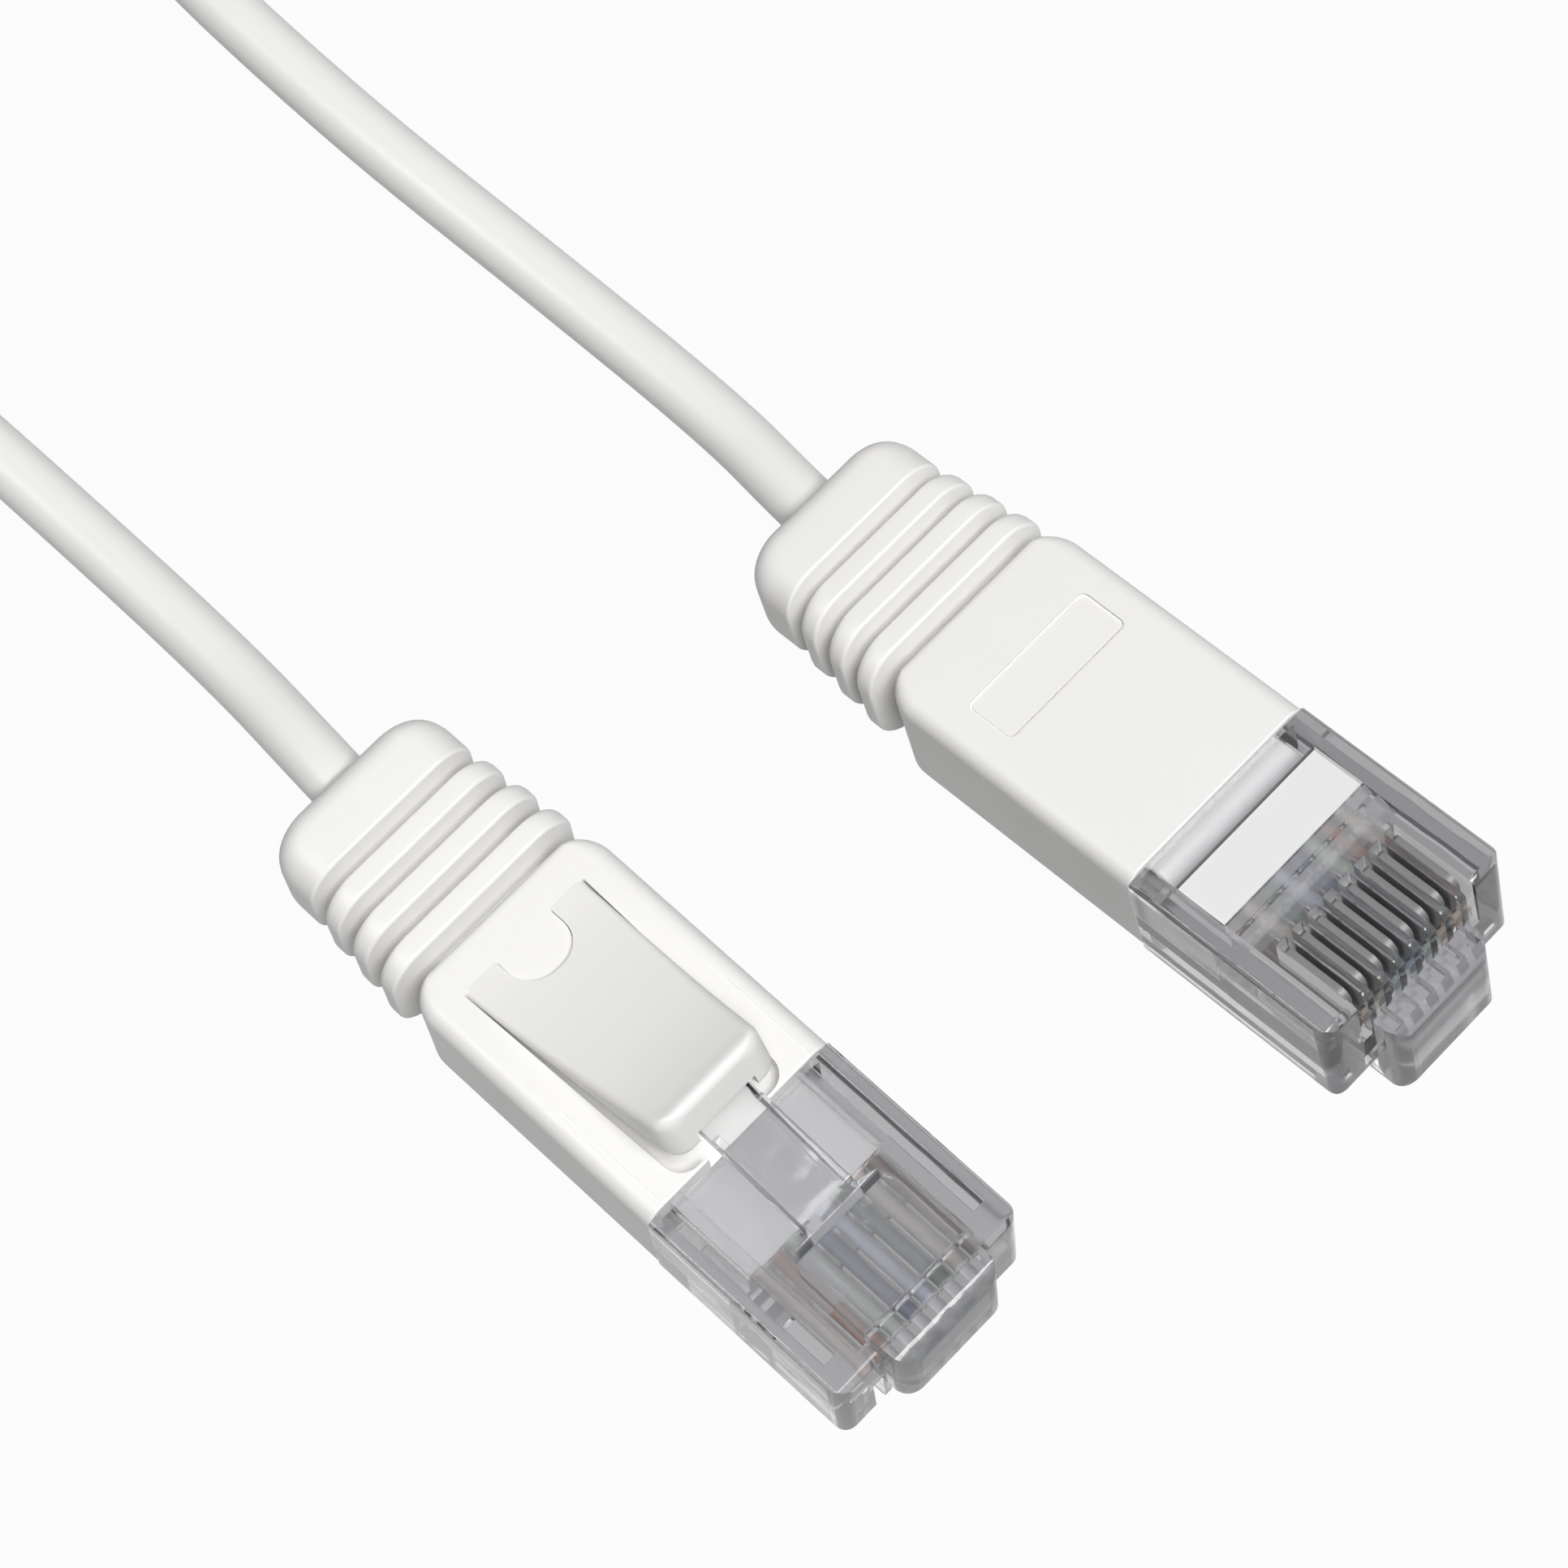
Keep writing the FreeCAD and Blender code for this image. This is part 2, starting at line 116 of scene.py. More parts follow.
# %% Make the cord from one spline
cord_curve = bpy.data.curves.new("cord", "CURVE")
cord_curve.dimensions = "3D"
cord_curve.bevel_depth = 1.0
cord_curve.bevel_resolution = 9
spline = cord_curve.splines.new("NURBS")
centreline = route_a + coil_points + route_b[::-1]
spline.points.add(len(centreline) - 1)
for point, place in zip(spline.points, centreline):
    point.co = (*(Vector(place) * MM), 1)
    point.radius = CORD_RADIUS * MM
spline.order_u = 3
spline.use_endpoint_u = True
spline.resolution_u = 8
cord = bpy.data.objects.new("cord", cord_curve)
bpy.context.scene.collection.objects.link(cord)
cord_length = spline.calc_length()
print("cord:", round(cord_length, 4), "m along its middle")
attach(cord, "cord_and_plugs")
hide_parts("cable_a", "cable_b", "coil")

# %% [markdown]
# ## Helpers for solids
# The plugs' pieces are drawn in millimetres in the plug's own frame: X across, Y back from the nose, Z up
# from the contact side. Outlines with rounded corners are drawn out to prisms, and prisms are cut from or
# joined to each other.

# %% Outlines, prisms and skins
AXES = {"plan": (0, 1, 2), "side": (1, 2, 0), "section": (0, 2, 1)}


def rounded(corners, steps=8):
    """Points of a closed outline through (u, v, radius) corners, each corner rounded by an arc."""
    points = []
    for before, here, after in zip(corners[-1:] + corners[:-1], corners, corners[1:] + corners[:1]):
        corner, radius = Vector(here[:2]), here[2]
        if radius == 0:
            points.append(corner)
            continue
        back, on = (Vector(before[:2]) - corner).normalized(), (Vector(after[:2]) - corner).normalized()
        half = back.angle(on) / 2
        middle = corner + (back + on).normalized() * (radius / math.sin(half))
        start = corner + back * (radius / math.tan(half)) - middle
        stop = corner + on * (radius / math.tan(half)) - middle
        turn = math.atan2(start.x * stop.y - start.y * stop.x, start.dot(stop))
        points += [middle + Matrix.Rotation(turn * i / steps, 2) @ start for i in range(steps + 1)]
    return points


def loops_to_object(name, loops):
    """Closed solid through loops of equally many points, with a face over each end."""
    shape = bmesh.new()
    rows = [[shape.verts.new(point) for point in loop] for loop in loops]
    shape.faces.new(rows[0])
    shape.faces.new(rows[-1])
    for row, following in zip(rows, rows[1:]):
        for i in range(len(row)):
            shape.faces.new((row[i - 1], row[i], following[i], following[i - 1]))
    bmesh.ops.recalc_face_normals(shape, faces=shape.faces)
    mesh = bpy.data.meshes.new(name)
    shape.to_mesh(mesh)
    shape.free()
    made = bpy.data.objects.new(name, mesh)
    bpy.context.scene.collection.objects.link(made)
    return made


def prism(corners, view, start, stop, name="tool"):
    """Solid with this outline in one view, drawn out along the remaining axis."""
    loops = []
    for level in (start, stop):
        loops.append([])
        for point in rounded(corners):
            place = Vector((level, level, level))
            place[AXES[view][0]], place[AXES[view][1]] = point
            loops[-1].append(place)
    return loops_to_object(name, loops)


def box_corners(width, bottom, top, bottom_radius, top_radius=None):
    """Corners of a rounded rectangle centred on the plug's middle."""
    half, top_radius = width / 2, bottom_radius if top_radius is None else top_radius
    return [(-half, bottom, bottom_radius), (half, bottom, bottom_radius),
            (half, top, top_radius), (-half, top, top_radius)]


def block(width, bottom, top, front, back, radius=0, name="tool"):
    """Solid of a rounded rectangle seen from the nose, drawn back along the plug."""
    return prism(box_corners(width, bottom, top, radius), "section", front, back, name)


def boolean(target, tools, operation):
    """Apply a boolean with each tool in turn and remove the tools."""
    for tool in tools:
        modifier = target.modifiers.new("boolean", "BOOLEAN")
        modifier.operation = operation
        modifier.object = tool
        bpy.context.view_layer.objects.active = target
        bpy.ops.object.modifier_apply(modifier=modifier.name)
        bpy.data.objects.remove(tool)
    return target


def soften(target, width, segments=3, angle=32):
    """Apply a rounded bevel to the edges that turn by more than the angle."""
    modifier = target.modifiers.new("soft edges", "BEVEL")
    modifier.limit_method = "ANGLE"
    modifier.angle_limit = math.radians(angle)
    modifier.width = width
    modifier.segments = segments
    modifier.miter_outer = "MITER_ARC"
    bpy.context.view_layer.objects.active = target
    bpy.ops.object.modifier_apply(modifier=modifier.name)
    return target


print("views:", list(AXES))

# %% [markdown]
# ## Places of the two plugs
# Plug b lies flat with its contacts down. Plug a lies on its back, tipped up at the nose by the press tab
# under it.

# %% Matrices of the plugs
PLUG_HEIGHT = 6.5
TIPPED = -9.5  # degrees
SHARP = 27  # degrees, the least turn between two faces that is shaded as an edge
turned_over = Matrix.Translation((0, 0, PLUG_HEIGHT)) @ Matrix.Rotation(math.pi, 4, "Y")
place_b = Matrix.Translation((-12.51, -14.72, 0.25))
tipped = Matrix.Rotation(math.radians(TIPPED), 4, "X")
place_a = Matrix.Translation((12.51, -21.585, 6.8)) @ tipped @ turned_over
PLUGS = {"a": Matrix.Scale(MM, 4) @ place_a, "b": Matrix.Scale(MM, 4) @ place_b}


def settle(piece, letter, body, node, material):
    """Move a piece's mesh from the plug's frame to the object's, smooth it, give it its material, and hide the
    frame node it stands for.
    """
    mesh = piece.data
    mesh.transform(PLUGS[letter])
    mesh.shade_smooth()
    mesh.set_sharp_from_angle(angle=math.radians(SHARP))
    weighted = piece.modifiers.new("even shading", "WEIGHTED_NORMAL")
    weighted.keep_sharp = True
    mesh.materials.append(material)
    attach(piece, body)
    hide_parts(node)
    print(piece.name, len(mesh.polygons), "faces")


print("plug b's nose at", [round(v, 5) for v in PLUGS["b"].translation])

# %% [markdown]
# ## Boots
# A boot is one soft moulding, so one skin through many rings makes it: the body, three ribs, the cap and
# the thin core between them. Then the room for the plug's tail, the bore, the pocket under the press tab
# and the badge are cut out.

# %% Make the boots
AXIS_Z = 3.25  # height of the cord's axis above the contact side
BODY_FRONT, BODY_BACK = 11.82, 27.45
BODY_WIDTH, BODY_HEIGHT = 11.65, 7.0
# Front, thickness, width and height of each rib and of the cap behind them.
RIBS = [(28.4, 1.12, 11.6, 6.7), (30.42, 1.12, 11.22, 6.6), (32.44, 1.12, 10.84, 6.5)]
CAP = (34.46, 3.4, 10.42, 6.4)
RIB_EDGES = (2.3, 2.0)  # edge radii on the side that lies down and on the upper side
DRAFT = 0.36  # how far the core runs in under a rib's front
CORE = (8.4, 3.4, 1.5)  # width, height, edge radius
SOFT = 0.18  # radius of a rib's front edge
TAIL = (10.24, 0.88, 5.02)  # width, bottom, top of the room for the housing's tail
POCKET_FLOOR = 5.55


def ring(y, width, height, contact_radius, latch_radius=None, middle=AXIS_Z):
    """Rounded rectangle round the plug's axis, at a distance behind the nose."""
    corners = box_corners(width, middle - height / 2, middle + height / 2, contact_radius, latch_radius)
    return [Vector((point.x, y, point.y)) for point in rounded(corners)]


def soft_rings(front, back, width, height, edges, front_soft, back_soft, plan_soft):
    """Rings of a slab whose front edge, back edge and back corners seen from above are rounded."""
    rows = []
    for i in range(5):
        angle = i / 4 * math.pi / 2
        inset = front_soft * (1 - math.sin(angle))
        rows.append((front + front_soft * (1 - math.cos(angle)), inset, inset))
    for i in range(11):
        angle = i / 10 * math.pi / 2
        y = back - plan_soft * (1 - math.sin(angle))
        rise = max(0.0, 1 - (back - y) / back_soft)
        rows.append((y, plan_soft * (1 - math.cos(angle)), back_soft * (1 - math.sqrt(1 - rise ** 2))))
    rings = []
    for y, side_inset, top_inset in rows:
        radii = [max(0.3, edge - max(0.5 * side_inset, top_inset)) for edge in edges]
        rings.append(ring(y, width - 2 * side_inset, height - 2 * top_inset, *radii))
    return rings


def tab_corners(front_gap, side_gap, back_gap, back):
    """Outline of the press tab from above, grown for its pocket, with the U notch between its legs."""
    front_half, back_half, notch = 3.23 + side_gap, 3.8 + back_gap, 1.72
    front = 12.4 - front_gap
    return [(-front_half, front, 1.1), (front_half, front, 1.1), (back_half, back, 0), (notch, back, 0),
            (notch, 23.03, 1.57), (-notch, 23.03, 1.57), (-notch, back, 0), (-back_half, back, 0)]


def make_boot(letter, material):
    """The whole boot of one plug. Plug a lies on its back, so its ribs' softer edges are the other way up."""
    under, upper = RIB_EDGES if letter == "b" else RIB_EDGES[::-1]
    rings = soft_rings(BODY_FRONT, BODY_BACK, BODY_WIDTH, BODY_HEIGHT, (1.0, 1.0), 0.12, 0.3, 1.7)
    rings += [ring(BODY_BACK, *CORE)]
    for front, thick, width, height in RIBS:
        rings += [ring(front - DRAFT, *CORE)]
        rings += soft_rings(front, front + thick, width, height, (under, upper), SOFT, 0.08, 0.45)
        rings += [ring(front + thick, *CORE)]
    front, thick, width, height = CAP
    rings += [ring(front - DRAFT, *CORE)]
    rings += soft_rings(front, front + thick, width, height, (under, upper), SOFT, 1.2, 2.0)
    rings += [ring(front + thick + 0.02, 3.9, 3.9, 1.95), ring(front + thick + 0.3, 3.6, 3.6, 1.8)]
    boot = loops_to_object("plug_%s_boot_skin" % letter, rings)
    tail_room = block(*TAIL, 11.0, 21.5, 0.5)
    bore = block(3.16, AXIS_Z - 1.58, AXIS_Z + 1.58, 21.0, 39.0, 1.579)
    pocket = prism(tab_corners(0.42, 0.22, 0.05, 25.4), "plan", POCKET_FLOOR, 8)
    bar_gap = block(3.7, POCKET_FLOOR, 8, 11, 12.6)
    badge = [(-3.9, 20.8, 0.4), (3.9, 20.8, 0.4), (3.9, 23.65, 0.4), (-3.9, 23.65, 0.4)]
    boolean(boot, [tail_room, bore, pocket, bar_gap, prism(badge, "plan", -1, -0.05)], "DIFFERENCE")
    floor_plate = [(-3.78, 20.92, 0.3), (3.78, 20.92, 0.3), (3.78, 23.53, 0.3), (-3.78, 23.53, 0.3)]
    boolean(boot, [prism(floor_plate, "plan", -0.14, 0.2)], "UNION")
    creases = [prism([(x - 0.04, 11.7, 0), (x + 0.04, 11.7, 0), (x + 0.04, 18.2, 0), (x - 0.04, 18.2, 0)],
                     "plan", 6.69, 8) for x in (-4.78, 4.78)]
    boolean(boot, creases, "DIFFERENCE")
    settle(boot, letter, "cord_and_plugs", "plug_%s_boot" % letter, material)
    return boot

# %% [markdown]
# ## Clear housings
# The housing is one clear moulding: the body with its root block for the latch, and the thinner tail
# inside the boot. The channel for the latch, the cavity for the white strain relief, a groove, and eight
# slots for the contacts are cut from it, and every remaining edge is broken slightly, so that it catches
# the light.

# %% Make the housings
HOUSING_HALF = 5.84
CONTACT_PITCH = 1.02
CONTACT_X = [(i - 3.5) * CONTACT_PITCH for i in range(8)]
BROKEN_EDGE = 0.12


def make_housing(letter, material):
    """The clear body, root and tail of one plug, with a face attribute that marks its matt faces, whose grey
    haze is painted shade.
    """
    half = HOUSING_HALF
    housing = prism([(-half, 11.8, 0), (-half, 0, 0.85), (half, 0, 0.85), (half, 11.8, 0)], "plan", 0, 6.5,
                    "plug_%s_housing_shell" % letter)
    beside = prism([(0, 0, 0.45), (11.8, 0, 0), (11.8, 6.5, 0), (0, 6.5, 0.45)], "side", -7, 7)
    boolean(housing, [beside, block(2 * half, 0, 6.5, -1, 11.81, 0.3)], "INTERSECT")
    root = prism([(-1.6, 2.6, 0.8), (0.95, 2.6, 0), (0.95, 8.2, 0.2), (-1.6, 8.2, 0.9)], "side", -3.15, 3.15)
    root_plan = [(-3.16, 1, 0), (-3.16, -1.6, 1.1), (3.16, -1.6, 1.1), (3.16, 1, 0)]
    boolean(root, [prism(root_plan, "plan", 2, 9)], "INTERSECT")
    boolean(housing, [block(10.2, 0.9, 5.0, 11.3, 21.46, 0.5), root], "UNION")
    cavity = block(8.8, 1.6, 4.3, 7.15, 21.5, 0.3)
    boolean(cavity, [block(9.16, -1, 1.7, 7.15, 10.08)], "UNION")
    rails = [prism([(side * 4.445, 6.15, 0), (side * 5.145, 6.15, 0), (side * 5.145, 8, 0),
                    (side * 4.445, 8, 0)], "section", 1.6, 13) for side in (-1, 1)]
    groove = prism([(5.0, -0.01, 0), (6.25, -0.01, 0), (5.6, 0.36, 0), (5.15, 0.36, 0)], "side", -4.56, 4.56)
    second = prism([(6.5, -0.01, 0), (7.05, -0.01, 0), (6.55, 0.27, 0)], "side", -4.56, 4.56)
    boolean(groove, [second], "UNION")
    boolean(housing, [block(7.5, 5.7, 8, 0.95, 12.8), cavity, groove] + rails, "DIFFERENCE")
    beside_bar = prism([(-3.73, 3.2, 0), (-1.7, 3.2, 0), (-1.7, 7.0, 0), (-3.73, 7.0, 0)], "plan", 5.66, 8)
    boolean(housing, [block(7.46, 5.66, 8, 6.9, 12.8), beside_bar], "DIFFERENCE")
    for x in CONTACT_X:
        slot = block(0.62, -1, 3.55, -1, 4.75)
        wire_way = block(0.9, 2.8, 3.7, 0.5, 7.25)
        boolean(slot, [wire_way], "UNION")
        slot.data.transform(Matrix.Translation((x, 0, 0)))
        boolean(housing, [slot], "DIFFERENCE")
    soften(housing, BROKEN_EDGE)
    # The matt faces, whose larger share of grey haze is painted shade: the flat tops, the root's front and the
    # groove's slopes.
    matt_and_painted_shade = housing.data.attributes.new("matt_and_painted_shade", "FLOAT", "FACE")
    for face in housing.data.polygons:
        flat_top = face.normal.z > 0.95
        body_top = flat_top and (6.45 < face.center.z < 6.55 or 5.6 < face.center.z < 5.69)
        root_front = face.center.y < -0.2 and not flat_top
        in_groove = 5.0 < face.center.y < 7.05 and 0.1 < face.center.z < 0.4 and abs(face.normal.z) > 0.3
        matt_and_painted_shade.data[face.index].value = float(body_top or root_front or in_groove)
    settle(housing, letter, "cord_and_plugs", "plug_%s_housing" % letter, material)
    return housing

# %% [markdown]
# ## Press tabs and latches
# The press tab is a hood that slopes up from two legs in the boot's top to a blunt front. Pushing it down
# bends the clear latch bar under it. Its edges are well rounded, as soft plastic is, and the latch's
# edges are only just broken.

# %% Make the press tabs and the latches


def make_press_tab(letter, material):
    """A hood of rings along the plug, tipped back at its blunt front, with the notch and bar's room cut out."""
    rings = []
    steps = [1.1 * (1 - math.cos(i / 8 * math.pi / 2)) for i in range(9)]
    steps += [1.6 + i * 1.16 for i in range(11)]
    for y in steps:
        corner = 1.1 - math.sqrt(1.1 ** 2 - max(0.0, 1.1 - y) ** 2)
        edge = 0.6 - math.sqrt(0.6 ** 2 - max(0.0, 0.6 - y) ** 2)
        rise = max(0.0, 13.0 - y)
        top = 6.74 + 0.15 * rise + 0.0262 * rise ** 1.8 - edge
        bottom = 8.55 - 0.2 * y + 0.5 * edge
        lean = 0.37 * max(0.0, 1 - y / 6)
        soft = min(0.6, 0.42 * (top - bottom))
        loop = ring(12.4 + y, 2 * (3.23 + 0.0438 * y - corner), top - bottom, 0.25, soft, (top + bottom) / 2)
        rings.append([Vector((p.x, p.y + lean * (p.z - 9.6), p.z)) for p in loop])
    tab = loops_to_object("plug_%s_press_tab_hood" % letter, rings)
    bar_way = prism([(11, 5, 0), (15.6, 5, 0), (15.6, 9.72, 0), (11, 9.24, 0)], "side", -1.85, 1.85)
    notch = prism([(-1.75, 27, 0), (-1.75, 23.0, 1.6), (1.75, 23.0, 1.6), (1.75, 27, 0)], "plan", 4, 9)
    boolean(tab, [bar_way, notch], "DIFFERENCE")
    settle(tab, letter, "press_tab_%s" % letter, "plug_%s_press_tab" % letter, material)
    return tab


def make_latch(letter, material):
    """The clear tongue: wide at its root, then a narrow bar that rises under the press tab."""
    plan = [(-3.05, 1.1, 0), (3.05, 1.1, 0), (3.05, 5.6, 0.9), (1.55, 5.9, 0.2), (1.55, 14.8, 0.6),
            (-1.55, 14.8, 0.6), (-1.55, 5.9, 0.2), (-3.05, 5.6, 0.9)]
    latch = prism(plan, "plan", 5, 10, "plug_%s_latch_bar" % letter)
    beside = prism([(1.1, 6.5, 0), (5.6, 7.0, 0), (14.8, 8.6, 0), (14.8, 9.45, 0.3), (5.6, 8.3, 0.15),
                    (5.4, 7.7, 0), (1.1, 7.4, 0)], "side", -4, 4)
    boolean(latch, [beside], "INTERSECT")
    rails = [prism([(6.1, 8.1, 0), (11.7, 8.8, 0), (11.7, 9.3, 0.3), (6.1, 8.6, 0.2)], "side", x, x + 0.36)
             for x in (-1.55, 1.19)]
    boolean(latch, rails, "UNION")
    soften(latch, 0.1)
    settle(latch, letter, "latch_%s" % letter, "plug_%s_latch" % letter, material)
    return latch

# %% [markdown]
# ## Helpers for materials
# Cycles works with linear light, while colours are read off a picture in sRGB, so one function turns hex
# codes to linear. Another adds a node with its settings and links, and each material below is built with
# it.

# %% Helpers for materials


def linear(code):
    """sRGB hex to the linear colour that Blender's shaders take."""
    parts = [int(code[i:i + 2], 16) / 255 for i in (0, 2, 4)]
    return [c / 12.92 if c <= 0.04045 else ((c + 0.055) / 1.055) ** 2.4 for c in parts] + [1.0]


def add_node(tree, kind, settings=None, values=None, links=None):
    """Add a node with its settings, its sockets' values, and links from other nodes' outputs to its inputs."""
    node = tree.nodes.new(kind)
    for name, value in (settings or {}).items():
        setattr(node, name, value)
    for name, value in (values or {}).items():
        node.inputs[name].default_value = value
    for name, output in (links or {}).items():
        tree.links.new(output, node.inputs[name])
    return node


def new_material(name):
    """An empty node material: its node tree and its output node."""
    material = bpy.data.materials.new(name)
    material.use_nodes = True
    tree = material.node_tree
    tree.nodes.clear()
    return material, tree, add_node(tree, "ShaderNodeOutputMaterial")


def seen_directly(tree):
    """One for camera, glossy and transmission rays that have met no matt surface yet, zero for all others."""
    rays = add_node(tree, "ShaderNodeLightPath")
    seen = rays.outputs["Is Camera Ray"]
    for kind in ("Is Glossy Ray", "Is Transmission Ray"):
        either = add_node(tree, "ShaderNodeMath", {"operation": "MAXIMUM"},
                          links={0: seen, 1: rays.outputs[kind]})
        seen = either.outputs[0]
    first = add_node(tree, "ShaderNodeMath", {"operation": "LESS_THAN"}, {1: 0.5},
                     {0: rays.outputs["Diffuse Depth"]})
    both = add_node(tree, "ShaderNodeMath", {"operation": "MULTIPLY"}, links={0: seen, 1: first.outputs[0]})
    return both.outputs[0]


# %% [markdown]
# ## Floor
# The object lies on white paper. The paper glows white to the camera, to reflections and through the
# clear plastic, and only a small share of it is lit as real paper, which keeps a light contact shadow.
# Its colour is a middle grey, so that it throws little light back on the white boots.

# %% Floor
FLOOR_HALF = 3.0
FLOOR_GAP = 0.02 * MM  # the faces of the floor and the object never share a plane
GLOW_SHARE = 0.96
floor_mesh = bpy.data.meshes.new("floor")
shape = bmesh.new()
bmesh.ops.create_grid(shape, x_segments=1, y_segments=1, size=FLOOR_HALF)
bmesh.ops.translate(shape, verts=shape.verts, vec=(0, 0, -FLOOR_GAP))
shape.to_mesh(floor_mesh)
shape.free()
floor = bpy.data.objects.new("floor", floor_mesh)
bpy.context.scene.collection.objects.link(floor)
paper, tree, out = new_material("matt white paper")
diffuse = add_node(tree, "ShaderNodeBsdfDiffuse", values={"Color": linear("8C8C8C")})
glow = add_node(tree, "ShaderNodeEmission", values={"Color": (1, 1, 1, 1), "Strength": 1.0})
share = add_node(tree, "ShaderNodeMath", {"operation": "MULTIPLY"}, {1: GLOW_SHARE}, {0: seen_directly(tree)})
mixed = add_node(tree, "ShaderNodeMixShader",
                 links={0: share.outputs[0], 1: diffuse.outputs[0], 2: glow.outputs[0]})
tree.links.new(mixed.outputs[0], out.inputs["Surface"])
floor_mesh.materials.append(paper)
print("floor:", 2 * FLOOR_HALF, "m wide")

# %% [markdown]
# ## Background and lamps
# The background is white where it is seen, and only a weak soft light where it lights the object. A large
# soft key lamp hangs above and in front of the noses, where neither plug's flat top mirrors it into the
# camera. The glint lamp stands behind, to the left, and lights gloss only: it gives the clear plastic and
# the rounded edges their highlights.

# %% World and lamps
world = bpy.data.worlds.new("studio")
bpy.context.scene.world = world
world.use_nodes = True
tree = world.node_tree
tree.nodes.clear()
out = add_node(tree, "ShaderNodeOutputWorld")
SOFT_LIGHT = 0.13  # the background's strength where it lights the object
soft = add_node(tree, "ShaderNodeBackground", values={"Color": (1, 1, 1, 1), "Strength": SOFT_LIGHT})
white = add_node(tree, "ShaderNodeBackground", values={"Color": (1, 1, 1, 1), "Strength": 1.0})
mixed = add_node(tree, "ShaderNodeMixShader",
                 links={0: seen_directly(tree), 1: soft.outputs[0], 2: white.outputs[0]})
tree.links.new(mixed.outputs[0], out.inputs["Surface"])


def lamp(name, place, aim, size, watts):
    """A square soft lamp, turned to face a point."""
    data = bpy.data.lights.new(name, "AREA")
    data.size = size
    data.energy = watts
    light = bpy.data.objects.new(name, data)
    light.location = place
    light.rotation_euler = (Vector(aim) - Vector(place)).to_track_quat("-Z", "Y").to_euler()
    bpy.context.scene.collection.objects.link(light)
    return light


lamp("key", (-0.05, -0.34, 0.89), (0, 0, 0), 0.45, 9.3)
glint = lamp("glint", (-0.45, 0.26, 0.62), (0, 0, 0), 0.25, 2.0)
glint.visible_diffuse = False
bpy.context.scene.view_settings.view_transform = "Standard"

# %% [markdown]
# ## Opaque plastics
# The boots and the cord's jacket are soft PVC, the strain relief is polyethylene, and the wires have thin
# insulation of the same kind. Each is smooth and satin, with soft highlights that are uneven where the
# mould or the die was. One function makes them all, because they differ only in colour, gloss and grain.
# Noise on Object coordinates, scaled in millimetres, varies the gloss and the tint and raises a fine
# grain, so that no surface is one flat colour.

# %% Make the opaque materials
CLOUD = 4.0  # size of the patches of uneven gloss, in mm
GLOSS_SPREAD = (-0.06, 0.08)
TINT_SHARE = 0.06


def moulded(name, colour, rough, grain, depth, tint="FFFFFF"):
    """Opaque moulded plastic: smooth, with fine grain and slightly uneven gloss."""
    material, tree, out = new_material(name)
    place = add_node(tree, "ShaderNodeTexCoord")
    cloud = add_node(tree, "ShaderNodeTexNoise", values={"Scale": 1 / (CLOUD * MM), "Detail": 3.0},
                     links={"Vector": place.outputs["Object"]})
    fine = add_node(tree, "ShaderNodeTexNoise", values={"Scale": 1 / (grain * MM), "Detail": 2.0},
                    links={"Vector": place.outputs["Object"]})
    gloss = add_node(tree, "ShaderNodeMapRange",
                     values={"To Min": rough + GLOSS_SPREAD[0], "To Max": rough + GLOSS_SPREAD[1]},
                     links={"Value": cloud.outputs["Fac"]})
    shade = add_node(tree, "ShaderNodeMix", {"data_type": "RGBA"}, {6: linear(colour), 7: linear(tint)})
    share = add_node(tree, "ShaderNodeMapRange", values={"To Min": 0.0, "To Max": TINT_SHARE},
                     links={"Value": cloud.outputs["Fac"]})
    tree.links.new(share.outputs[0], shade.inputs[0])
    bump = add_node(tree, "ShaderNodeBump", values={"Strength": 0.25, "Distance": depth * MM},
                    links={"Height": fine.outputs["Fac"]})
    shader = add_node(tree, "ShaderNodeBsdfPrincipled", values={"IOR": 1.5}, links={
        "Base Color": shade.outputs[2], "Roughness": gloss.outputs[0], "Normal": bump.outputs[0]})
    tree.links.new(shader.outputs[0], out.inputs["Surface"])
    return material


boot_plastic = moulded("satin white PVC moulding", "F0EFED", 0.42, 0.25, 0.02)
jacket = moulded("smooth white PVC jacket", "EEEEEC", 0.36, 0.4, 0.02)
mould = moulded("white polyethylene strain relief", "E6E6E6", 0.5, 0.2, 0.02)
# The usual order of the eight wires, with muted colours, because they show only faintly through the plug.
# They are also darker than real insulation: painted shade of the plug's inside.
WIRES = {"white orange": "B8AEA6", "orange": "8E6C5C", "white green": "A2ACA2", "blue": "465068",
         "white blue": "9EA4B2", "green": "4A5E52", "white brown": "AAA29A", "brown": "5C4E46"}
wires = [moulded("%s insulation" % name, colour, 0.4, 0.3, 0.01) for name, colour in WIRES.items()]
print("opaque plastics:", [m.name for m in (boot_plastic, jacket, mould)], "and", len(wires), "wires")
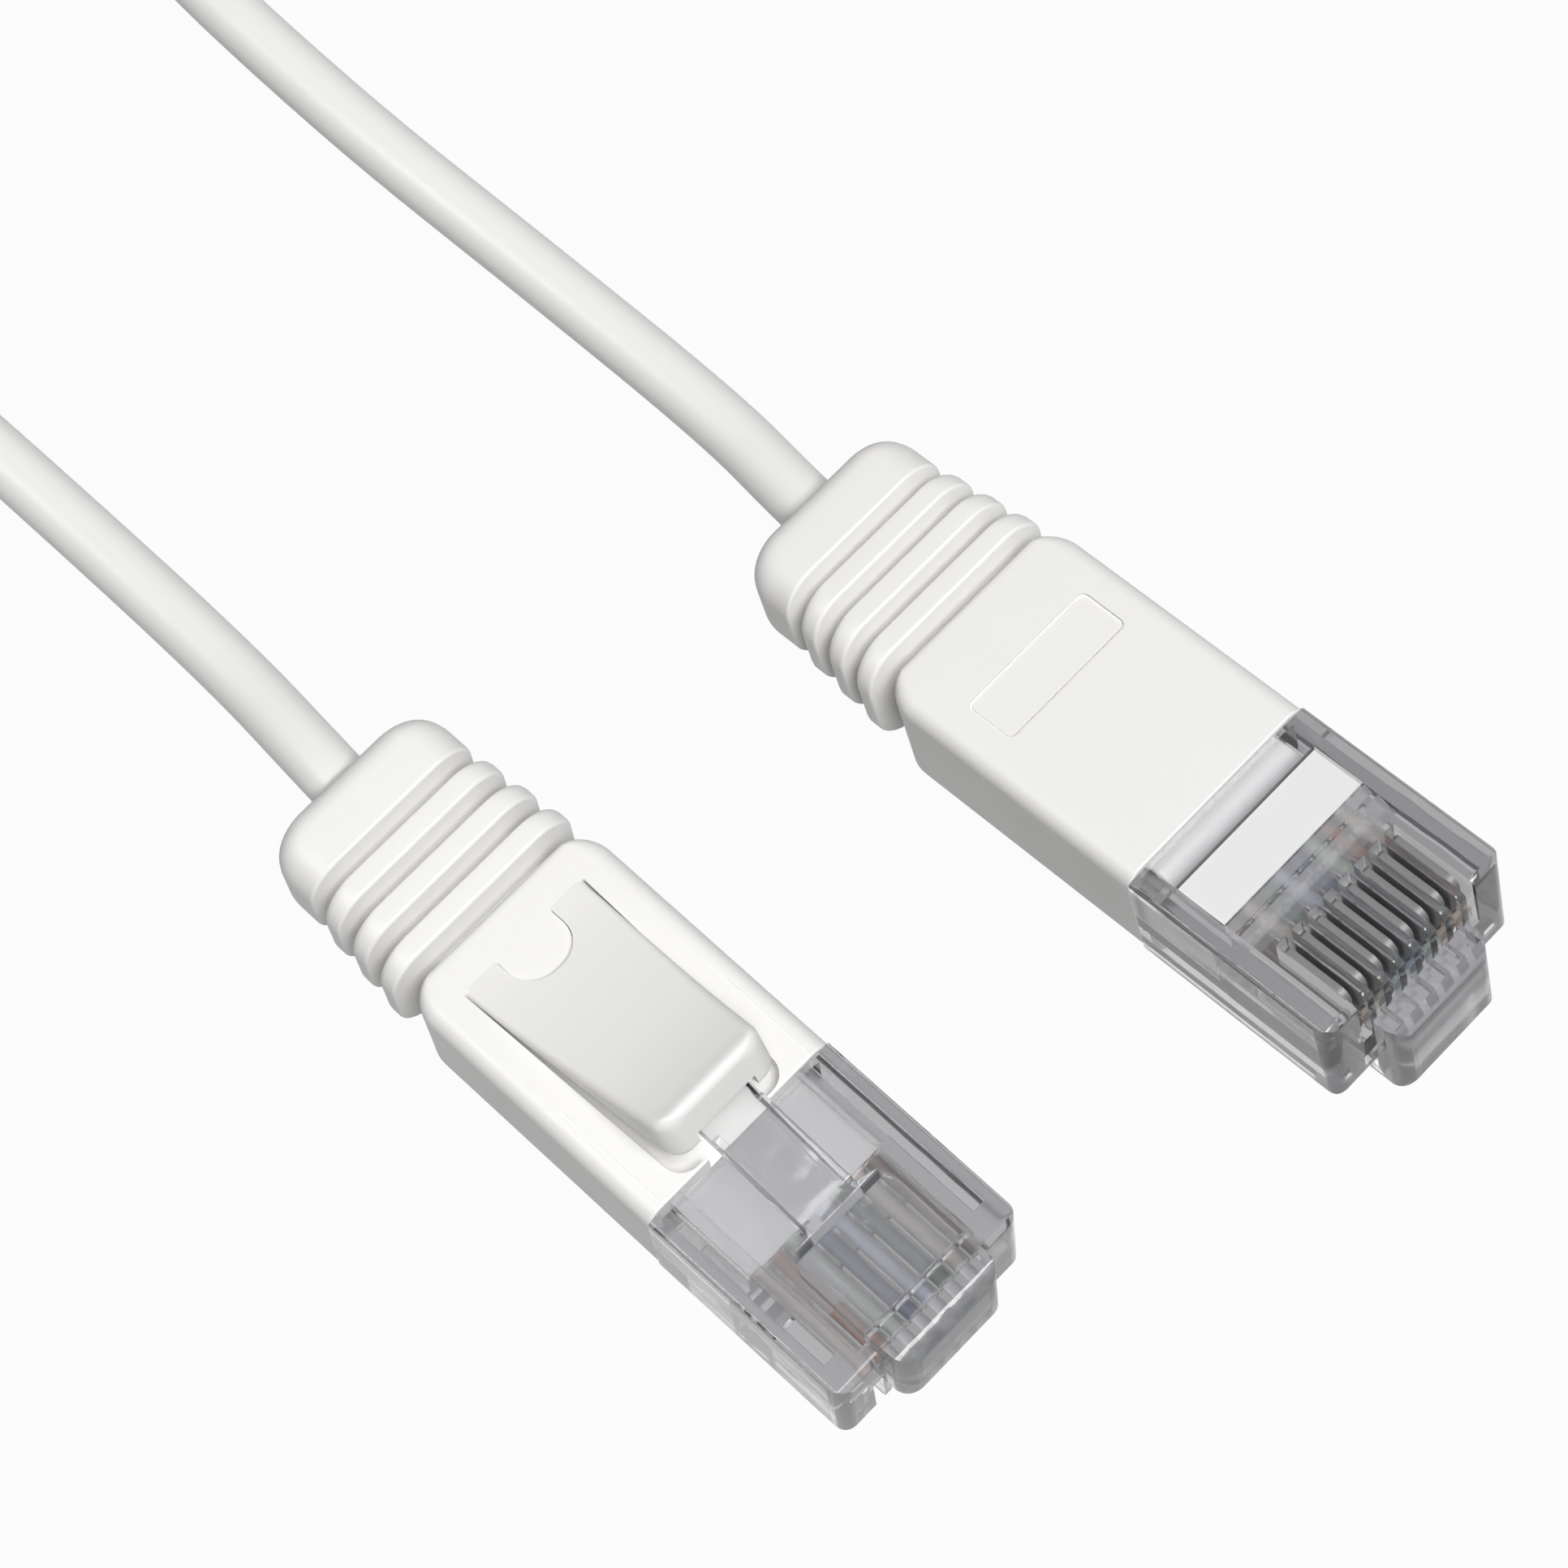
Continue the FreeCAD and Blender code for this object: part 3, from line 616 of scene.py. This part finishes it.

# %% [markdown]
# ## Clear plastic
# The plugs are moulded in clear polycarbonate. It is polished where it must be seen through, while the top
# strips, the channel's floor, the groove and the root are rougher and get a larger share of a grey haze,
# which is painted shade that darkens them and the white pieces behind them. A glass shader with a little
# haze is mixed for both, because two materials on one solid would confuse its volume. The housing's
# matt_and_painted_shade attribute gives each face its share of haze. Absorption darkens thick places, and
# light falls through to the pieces inside, because shadow rays meet a plain transparent surface.

# %% Make the clear plastic
clear, tree, out = new_material("clear polycarbonate, polished, and matt with painted shade")
place = add_node(tree, "ShaderNodeTexCoord")
matt_and_painted_shade = add_node(tree, "ShaderNodeAttribute", {"attribute_name": "matt_and_painted_shade"})
flow = add_node(tree, "ShaderNodeTexNoise", values={"Scale": 1 / (2.5 * MM), "Detail": 1.0},
                links={"Vector": place.outputs["Object"]})
bump = add_node(tree, "ShaderNodeBump", values={"Strength": 0.6, "Distance": 0.06 * MM},
                links={"Height": flow.outputs["Fac"]})
gloss = add_node(tree, "ShaderNodeMapRange", values={"To Min": 0.02, "To Max": 0.08},
                 links={"Value": flow.outputs["Fac"]})
gloss = add_node(tree, "ShaderNodeMath", {"operation": "MULTIPLY_ADD"}, {1: 0.18},
                 {0: matt_and_painted_shade.outputs["Fac"], 2: gloss.outputs[0]})
glass = add_node(tree, "ShaderNodeBsdfPrincipled",
                 values={"Base Color": linear("F4F4F4"), "IOR": 1.49, "Transmission Weight": 1.0},
                 links={"Roughness": gloss.outputs[0], "Normal": bump.outputs[0]})
# The grey haze: a little of it on every face, and a larger share on the matt faces, where its grey is painted
# shade.
haze = add_node(tree, "ShaderNodeBsdfPrincipled",
                values={"Base Color": linear("848488"), "Roughness": 0.4, "IOR": 1.49},
                links={"Normal": bump.outputs[0]})
# Share of the grey haze: 0.13 on polished faces, up to 0.5 on the matt ones, where it is painted shade.
share = add_node(tree, "ShaderNodeMapRange", values={"To Min": 0.13, "To Max": 0.5},
                 links={"Value": matt_and_painted_shade.outputs["Fac"]})
cloudy = add_node(tree, "ShaderNodeMixShader",
                  links={0: share.outputs[0], 1: glass.outputs[0], 2: haze.outputs[0]})
through = add_node(tree, "ShaderNodeBsdfTransparent", values={"Color": linear("F2F2F2")})
rays = add_node(tree, "ShaderNodeLightPath")
mixed = add_node(tree, "ShaderNodeMixShader",
                 links={0: rays.outputs["Is Shadow Ray"], 1: cloudy.outputs[0], 2: through.outputs[0]})
tree.links.new(mixed.outputs[0], out.inputs["Surface"])
depth = add_node(tree, "ShaderNodeVolumeAbsorption", values={"Color": linear("B8B8BB"), "Density": 170.0})
tree.links.new(depth.outputs[0], out.inputs["Volume"])
print("clear plastic:", clear.name)

# %% [markdown]
# ## Contacts
# The eight blades are stamped from thin phosphor bronze and plated. Behind the plug's clear walls the
# plating shows dull and grey, without sharp reflections, so the metal is rough and only partly metallic.

# %% Make the metal of the contacts
metal, tree, out = new_material("dull plated bronze")
place = add_node(tree, "ShaderNodeTexCoord")
grain = add_node(tree, "ShaderNodeTexNoise", values={"Scale": 1 / (0.3 * MM), "Detail": 3.0},
                 links={"Vector": place.outputs["Object"]})
gloss = add_node(tree, "ShaderNodeMapRange", values={"To Min": 0.4, "To Max": 0.6},
                 links={"Value": grain.outputs["Fac"]})
shader = add_node(tree, "ShaderNodeBsdfPrincipled", values={"Base Color": linear("7E7F7F"), "Metallic": 0.6},
                  links={"Roughness": gloss.outputs[0]})
tree.links.new(shader.outputs[0], out.inputs["Surface"])
cord_curve.materials.append(jacket)
print("materials:", len(bpy.data.materials))

# %% [markdown]
# ## Dress the plugs
# The four big pieces are made for both plugs, in the plug's own millimetres, and each stands for its CAD
# node. The contacts, wires and strain reliefs are small and rigid, so they keep their frame shapes and
# only get a material.

# %% Make both plugs
for letter in "ab":
    make_boot(letter, boot_plastic)
    make_press_tab(letter, boot_plastic)
    make_latch(letter, clear)
    make_housing(letter, clear)
for name, node in nodes.items():
    node.data.materials.clear()
    if "mould" in name:
        node.data.materials.append(mould)
    elif "contact" in name:
        node.data.materials.append(metal)
    elif "wire" in name:
        node.data.materials.append(wires[int(name[-1]) - 1])
    elif "cable" in name or "coil" in name:
        node.data.materials.append(jacket)
    else:
        node.data.materials.append(boot_plastic)
kept = [name for name in nodes if "contact" in name or "wire" in name or "mould" in name]
print("pieces that keep a frame shape:", len(kept))
